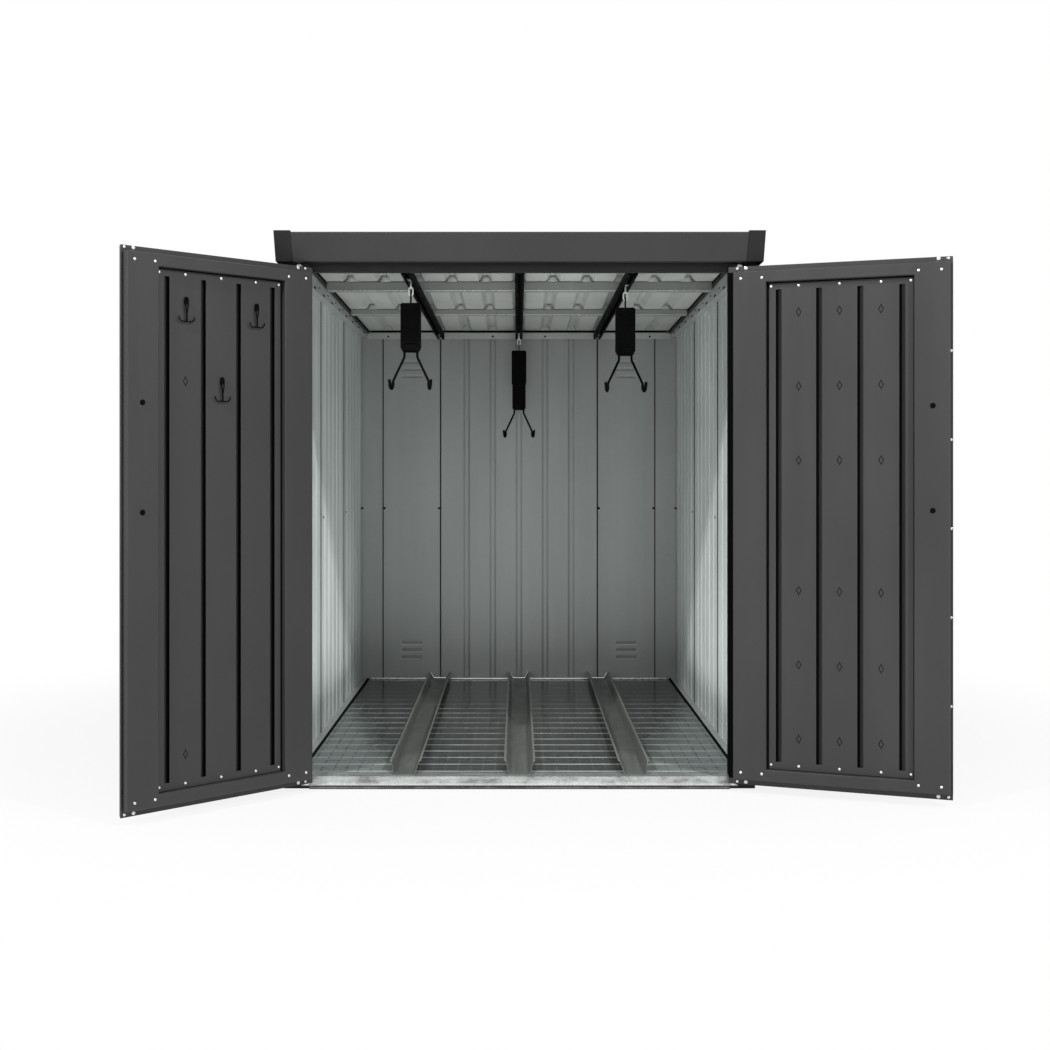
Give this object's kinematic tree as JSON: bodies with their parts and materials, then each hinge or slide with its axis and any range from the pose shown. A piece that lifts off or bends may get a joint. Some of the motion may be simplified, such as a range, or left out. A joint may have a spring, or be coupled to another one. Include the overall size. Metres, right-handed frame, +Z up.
{
  "type": "bicycle locker",
  "caption": "Sheet-steel bicycle locker with a pent roof, two hinged doors, wheel channels on the floor and handlebar lifters hanging from ceiling rails.",
  "frame": {"origin": "on the ground, under the centre of the cabinet's rectangular base, on the underside of the middle crossbar", "axes": "+Z up, +Y from the doorway to the back wall, +X to the right for someone who looks in through the doorway"},
  "size_m": [2.1964, 2.5066, 1.569],
  "materials": {
    "anthracite": "satin anthracite-grey coated steel sheet",
    "galvanised": "satin zinc-coated steel sheet",
    "bright_zinc": "bright zinc-coated steel",
    "black_steel": "black powder-coated steel",
    "black_plastic": "matte black plastic"
  },
  "bodies": {
    "cabinet": {"base_frame": "galvanised", "floor_pan": "galvanised", "front_sill": "bright_zinc", "front_header": "anthracite", "rear_top_rail": "galvanised", "back_panel_centre": "galvanised", "left_front_post": "anthracite", "left_rear_post": "galvanised", "left_top_rail": "galvanised", "left_wall_front": "galvanised", "left_wall_middle": "galvanised", "left_wall_rear": "galvanised", "back_panel_left": "galvanised", "left_roof_cap": "anthracite", "right_front_post": "anthracite", "right_rear_post": "galvanised", "right_top_rail": "galvanised", "right_wall_front": "galvanised", "right_wall_middle": "galvanised", "right_wall_rear": "galvanised", "back_panel_right": "galvanised", "right_roof_cap": "anthracite", "roof_fascia": "anthracite", "roof_rear_trim": "anthracite", "front_purlin": "galvanised", "rear_purlin": "galvanised", "roof_sheet": "galvanised", "left_wheel_channel": "galvanised", "centre_wheel_channel": "galvanised", "right_wheel_channel": "galvanised", "left_lift_rail": "black_steel", "centre_lift_rail": "black_steel", "right_lift_rail": "black_steel"},
    "left_door": {"left_door_skin": "anthracite", "left_door_frame": "anthracite", "left_door_panel": "anthracite", "left_door_handle": "black_steel", "coat_hook_inner": "black_steel", "coat_hook_outer": "black_steel", "coat_hook_low": "black_steel"},
    "right_door": {"right_door_skin": "anthracite", "right_door_frame": "anthracite", "right_door_panel": "anthracite", "right_door_handle": "black_steel", "closing_strip": "anthracite"},
    "left_trolley": {"left_lift_trolley": "bright_zinc"},
    "left_shackle": {"left_lift_shackle": "bright_zinc"},
    "left_lifter": {"left_lift_housing": "black_plastic"},
    "left_slider": {"left_lift_block": "black_plastic", "left_lift_fork": "black_steel"},
    "centre_trolley": {"centre_lift_trolley": "bright_zinc"},
    "centre_shackle": {"centre_lift_shackle": "bright_zinc"},
    "centre_lifter": {"centre_lift_housing": "black_plastic"},
    "centre_slider": {"centre_lift_block": "black_plastic", "centre_lift_fork": "black_steel"},
    "right_trolley": {"right_lift_trolley": "bright_zinc"},
    "right_shackle": {"right_lift_shackle": "bright_zinc"},
    "right_lifter": {"right_lift_housing": "black_plastic"},
    "right_slider": {"right_lift_block": "black_plastic", "right_lift_fork": "black_steel"}
  },
  "joints": [
    {"name": "left_door_hinge", "type": "hinge", "parent": "cabinet", "child": "left_door", "pos_m": [-0.6023, -1.028, 0.75], "axis": [0, 0, 1], "range_deg": [-30.6, 134.4]},
    {"name": "right_door_hinge", "type": "hinge", "parent": "cabinet", "child": "right_door", "pos_m": [0.6023, -1.028, 0.75], "axis": [0, 0, -1], "range_deg": [-6.2, 158.8]},
    {"name": "left_trolley_travel", "type": "slide", "parent": "cabinet", "child": "left_trolley", "axis": [0, 1, -0.006], "range_m": [-0.143, 1.712]},
    {"name": "left_shackle_swing", "type": "hinge", "parent": "left_trolley", "child": "left_shackle", "pos_m": [-0.325, -0.775, 1.45011], "axis": [-1, 0, 0], "range_deg": [-30, 30]},
    {"name": "left_lifter_swing", "type": "hinge", "parent": "left_shackle", "child": "left_lifter", "pos_m": [-0.325, -0.775, 1.42611], "axis": [-1, 0, 0], "range_deg": [-30, 30]},
    {"name": "left_fork_pull", "type": "slide", "parent": "left_lifter", "child": "left_slider", "axis": [0, 0, -1], "range_m": [0, 0.1]},
    {"name": "centre_trolley_travel", "type": "slide", "parent": "cabinet", "child": "centre_trolley", "axis": [0, 1, -0.006], "range_m": [-1.776, 0.079]},
    {"name": "centre_shackle_swing", "type": "hinge", "parent": "centre_trolley", "child": "centre_shackle", "pos_m": [0, 0.858, 1.44039], "axis": [-1, 0, 0], "range_deg": [-15, 30]},
    {"name": "centre_lifter_swing", "type": "hinge", "parent": "centre_shackle", "child": "centre_lifter", "pos_m": [0, 0.858, 1.41639], "axis": [-1, 0, 0], "range_deg": [-15, 30]},
    {"name": "centre_fork_pull", "type": "slide", "parent": "centre_lifter", "child": "centre_slider", "axis": [0, 0, -1], "range_m": [-0.0955, 0.0045]},
    {"name": "right_trolley_travel", "type": "slide", "parent": "cabinet", "child": "right_trolley", "axis": [0, 1, -0.006], "range_m": [-0.262, 1.593]},
    {"name": "right_shackle_swing", "type": "hinge", "parent": "right_trolley", "child": "right_shackle", "pos_m": [0.325, -0.656, 1.4494], "axis": [-1, 0, 0], "range_deg": [-30, 30]},
    {"name": "right_lifter_swing", "type": "hinge", "parent": "right_shackle", "child": "right_lifter", "pos_m": [0.325, -0.656, 1.4254], "axis": [-1, 0, 0], "range_deg": [-30, 30]},
    {"name": "right_fork_pull", "type": "slide", "parent": "right_lifter", "child": "right_slider", "axis": [0, 0, -1], "range_m": [0, 0.1]}
  ]
}
